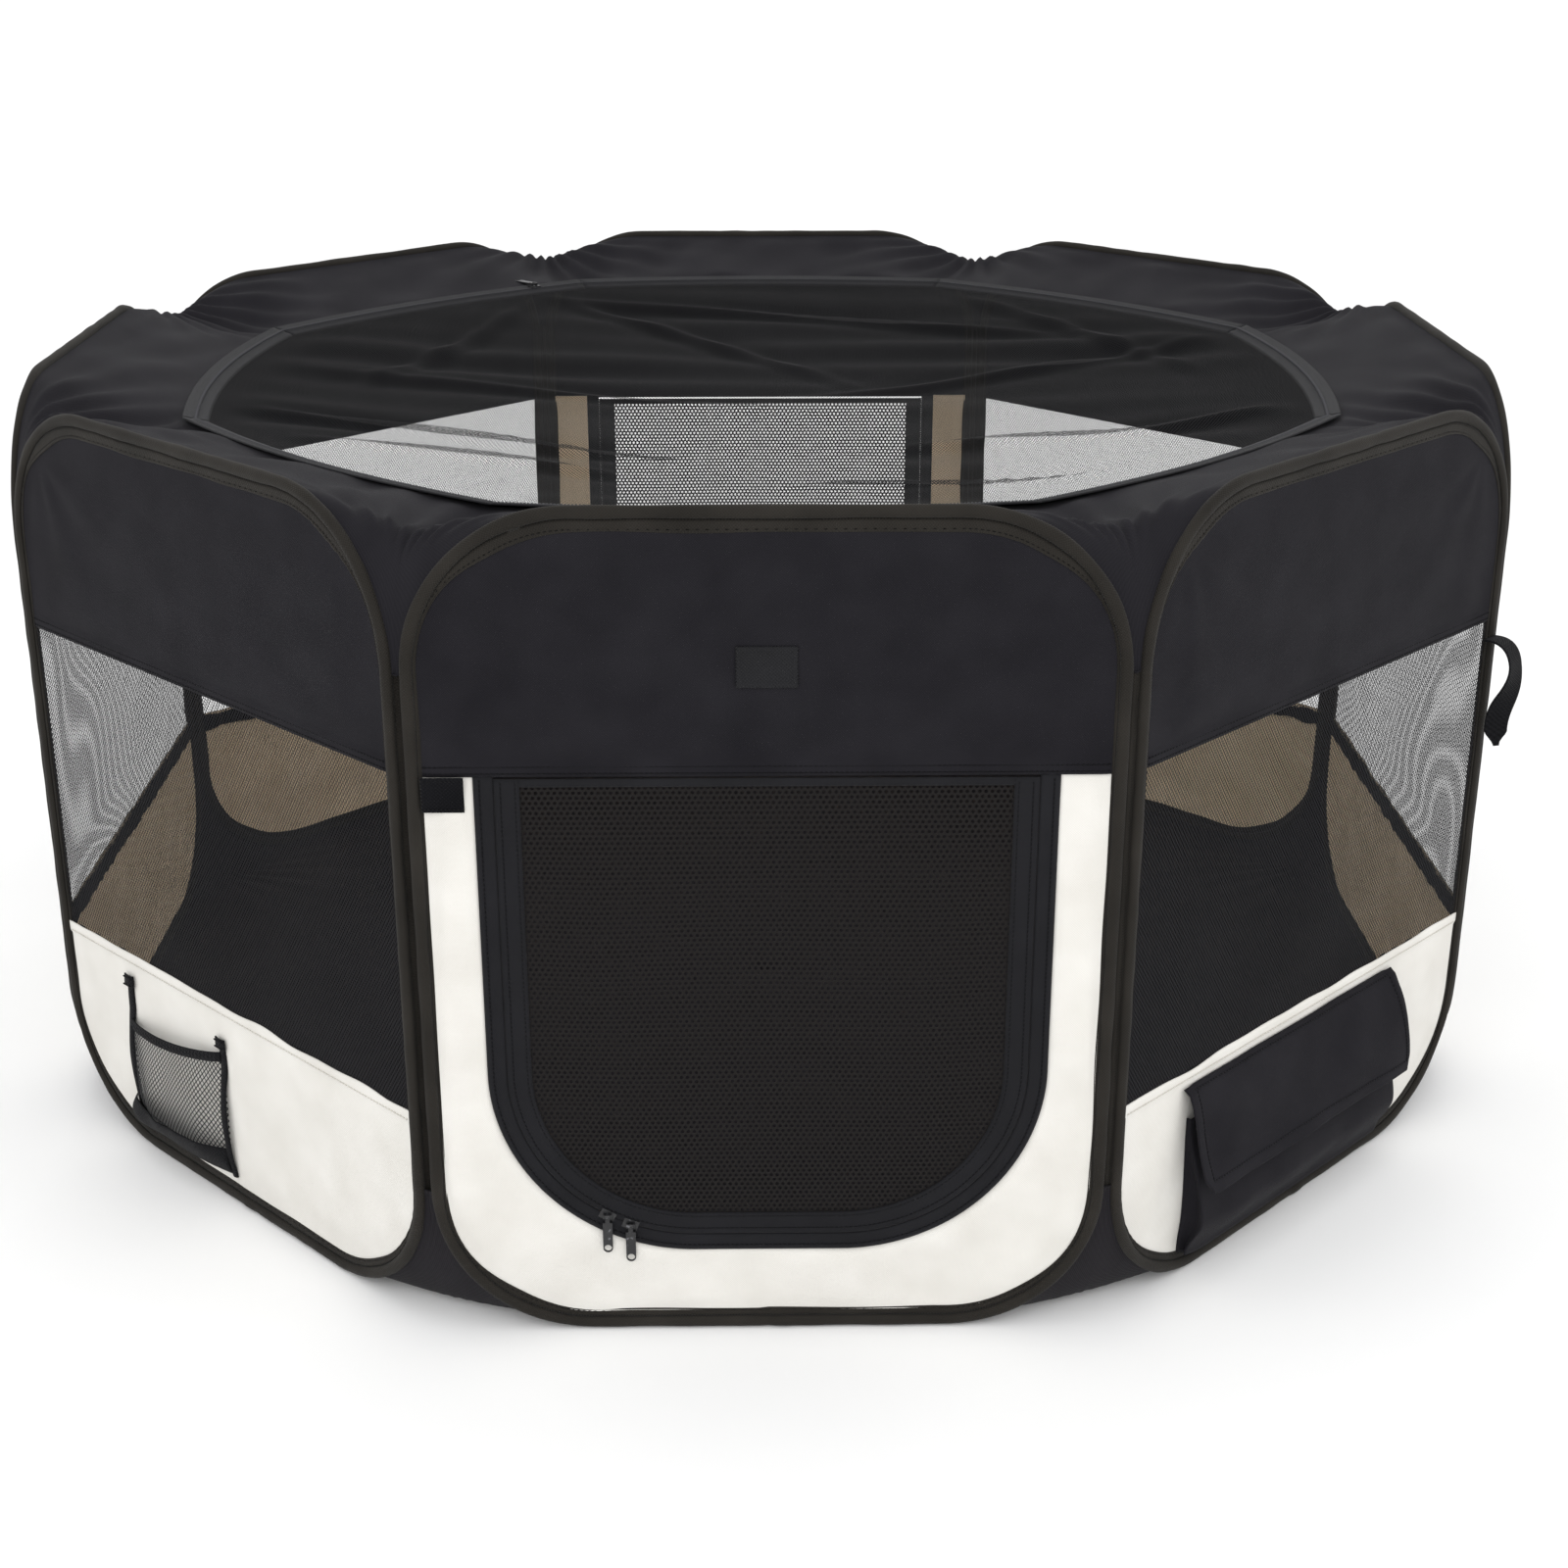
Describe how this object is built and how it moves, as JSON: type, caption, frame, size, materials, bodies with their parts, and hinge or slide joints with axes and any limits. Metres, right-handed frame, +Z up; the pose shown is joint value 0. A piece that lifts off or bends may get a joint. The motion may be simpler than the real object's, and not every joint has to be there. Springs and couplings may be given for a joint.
{
  "type": "pet playpen",
  "caption": "Folding octagonal fabric pet playpen with wire-hooped mesh panels, zip doors, mesh roof, floor and outer pockets.",
  "frame": {"origin": "middle of the ground plane under the pen", "axes": "+Z up, front door faces -Y, +X to the right as seen from the front"},
  "size_m": [1.2607, 1.2524, 0.65],
  "materials": {
    "spring_steel": "oiled spring steel wire, hidden in the binding",
    "binding_tape": "woven polyester binding tape, soft sheen",
    "black_oxford": "coated 600D oxford cloth, matt",
    "pale_oxford": "coated off-white oxford cloth, tan on its inner face",
    "window_mesh": "fine open knitted mesh",
    "door_mesh": "round-hole knitted mesh",
    "roof_mesh": "fine open knitted mesh",
    "zip_tape": "nylon coil zip tape",
    "zip_metal": "black enamelled zinc, worn at the edges",
    "floor_oxford": "coated oxford cloth, matt",
    "pocket_net": "coarse knitted net with a cloth hem",
    "webbing": "woven nylon webbing",
    "black_trim": "woven label and hook-and-loop tape"
  },
  "bodies": {
    "front_panel": {"front_wire_hoop": "spring_steel", "front_binding": "binding_tape", "front_upper_band": "black_oxford", "front_door_surround": "pale_oxford", "front_door_zip": "zip_tape", "roof_border": "black_oxford", "roof_mesh": "roof_mesh", "roof_zip_slider": "zip_metal", "roof_zip_pull": "zip_metal", "floor_sheet": "floor_oxford", "sewn_patches": "black_trim"},
    "front_right_panel": {"front_right_wire_hoop": "spring_steel", "front_right_binding": "binding_tape", "front_right_upper_band": "black_oxford", "front_right_window_mesh": "window_mesh", "front_right_lower_band": "pale_oxford", "storage_pocket": "black_oxford", "corner_strap": "webbing"},
    "right_panel": {"right_wire_hoop": "spring_steel", "right_binding": "binding_tape", "right_upper_band": "black_oxford", "right_window_mesh": "window_mesh", "right_lower_band": "pale_oxford"},
    "back_right_panel": {"back_right_wire_hoop": "spring_steel", "back_right_binding": "binding_tape", "back_right_upper_band": "black_oxford", "back_right_window_mesh": "window_mesh", "back_right_lower_band": "pale_oxford"},
    "back_panel": {"back_wire_hoop": "spring_steel", "back_binding": "binding_tape", "back_upper_band": "black_oxford", "back_door_surround": "pale_oxford", "back_door_zip": "zip_tape"},
    "back_left_panel": {"back_left_wire_hoop": "spring_steel", "back_left_binding": "binding_tape", "back_left_upper_band": "black_oxford", "back_left_window_mesh": "window_mesh", "back_left_lower_band": "pale_oxford"},
    "left_panel": {"left_wire_hoop": "spring_steel", "left_binding": "binding_tape", "left_upper_band": "black_oxford", "left_window_mesh": "window_mesh", "left_lower_band": "pale_oxford"},
    "front_left_panel": {"front_left_wire_hoop": "spring_steel", "front_left_binding": "binding_tape", "front_left_upper_band": "black_oxford", "front_left_window_mesh": "window_mesh", "front_left_lower_band": "pale_oxford", "bottle_pocket": "pocket_net"},
    "front_door": {"front_door_leaf": "door_mesh"},
    "front_slider_left": {"front_zip_slider_left": "zip_metal"},
    "front_pull_left": {"front_zip_pull_left": "zip_metal"},
    "front_slider_right": {"front_zip_slider_right": "zip_metal"},
    "front_pull_right": {"front_zip_pull_right": "zip_metal"},
    "back_door": {"back_door_leaf": "door_mesh"},
    "back_slider_left": {"back_zip_slider_left": "zip_metal"},
    "back_pull_left": {"back_zip_pull_left": "zip_metal"},
    "back_slider_right": {"back_zip_slider_right": "zip_metal"},
    "back_pull_right": {"back_zip_pull_right": "zip_metal"},
    "pocket_flap": {"storage_pocket_flap": "black_oxford"}
  },
  "joints": [
    {"name": "ring_fold", "type": "hinge", "parent": "front_panel", "child": "front_left_panel", "pos_m": [-0.25279, -0.6103, 0.325], "axis": [0, 0, -1], "range_deg": [0, 135], "deforming": ["roof_border", "roof_mesh", "roof_zip_slider", "roof_zip_pull", "floor_sheet"]},
    {"name": "front_right_corner", "type": "hinge", "parent": "front_panel", "child": "front_right_panel", "pos_m": [0.25433, -0.614, 0.325], "axis": [0, 0, -1], "range_deg": [0, 45]},
    {"name": "right_corner", "type": "hinge", "parent": "front_right_panel", "child": "right_panel", "pos_m": [0.614, -0.25433, 0.325], "axis": [0, 0, -1], "range_deg": [0, 45]},
    {"name": "back_right_corner", "type": "hinge", "parent": "right_panel", "child": "back_right_panel", "pos_m": [0.614, 0.25433, 0.325], "axis": [0, 0, -1], "range_deg": [0, 45]},
    {"name": "left_corner", "type": "hinge", "parent": "front_left_panel", "child": "left_panel", "pos_m": [-0.614, -0.25433, 0.325], "axis": [0, 0, 1], "range_deg": [0, 45]},
    {"name": "back_left_corner", "type": "hinge", "parent": "left_panel", "child": "back_left_panel", "pos_m": [-0.614, 0.25433, 0.325], "axis": [0, 0, 1], "range_deg": [0, 45]},
    {"name": "back_corner", "type": "hinge", "parent": "back_left_panel", "child": "back_panel", "pos_m": [-0.25433, 0.614, 0.325], "axis": [0, 0, 1], "range_deg": [0, 45]},
    {"name": "front_door_lift", "type": "hinge", "parent": "front_panel", "child": "front_door", "pos_m": [0, -0.6212, 0.4541], "axis": [-1, 0, 0], "range_deg": [0, 150]},
    {"name": "front_slider_left_travel", "type": "hinge", "parent": "front_door", "child": "front_slider_left", "pos_m": [-0.055, -0.622, 0.22], "axis": [0, 1, 0], "range_deg": [0, 60]},
    {"name": "front_pull_left_swing", "type": "hinge", "parent": "front_slider_left", "child": "front_pull_left", "pos_m": [-0.12142, -0.6245, 0.10018], "axis": [-1, 0, 0], "range_deg": [0, 165]},
    {"name": "front_slider_right_travel", "type": "hinge", "parent": "front_door", "child": "front_slider_right", "pos_m": [-0.055, -0.622, 0.22], "axis": [0, -1, 0], "range_deg": [0, 20]},
    {"name": "front_pull_right_swing", "type": "hinge", "parent": "front_slider_right", "child": "front_pull_right", "pos_m": [-0.1041, -0.6245, 0.0921], "axis": [-1, 0, 0], "range_deg": [0, 165]},
    {"name": "back_door_lift", "type": "hinge", "parent": "back_panel", "child": "back_door", "pos_m": [0, 0.6212, 0.4541], "axis": [1, 0, 0], "range_deg": [0, 150]},
    {"name": "back_slider_left_travel", "type": "hinge", "parent": "back_door", "child": "back_slider_left", "pos_m": [0.055, 0.622, 0.22], "axis": [0, -1, 0], "range_deg": [0, 60]},
    {"name": "back_pull_left_swing", "type": "hinge", "parent": "back_slider_left", "child": "back_pull_left", "pos_m": [0.12142, 0.6245, 0.10018], "axis": [1, 0, 0], "range_deg": [0, 165]},
    {"name": "back_slider_right_travel", "type": "hinge", "parent": "back_door", "child": "back_slider_right", "pos_m": [0.055, 0.622, 0.22], "axis": [0, 1, 0], "range_deg": [0, 20]},
    {"name": "back_pull_right_swing", "type": "hinge", "parent": "back_slider_right", "child": "back_pull_right", "pos_m": [0.1041, 0.6245, 0.0921], "axis": [1, 0, 0], "range_deg": [0, 165]},
    {"name": "pocket_flap_lift", "type": "hinge", "parent": "front_right_panel", "child": "pocket_flap", "pos_m": [0.43989, -0.43989, 0.1724], "axis": [-0.7071, -0.7071, 0], "range_deg": [0, 90]}
  ],
  "couplings": [
    {"joint": "front_right_corner", "follows": "ring_fold", "ratio": 0.33333},
    {"joint": "right_corner", "follows": "ring_fold", "ratio": 0.33333},
    {"joint": "back_right_corner", "follows": "ring_fold", "ratio": 0.33333},
    {"joint": "left_corner", "follows": "ring_fold", "ratio": 0.33333},
    {"joint": "back_left_corner", "follows": "ring_fold", "ratio": 0.33333},
    {"joint": "back_corner", "follows": "ring_fold", "ratio": 0.33333}
  ]
}
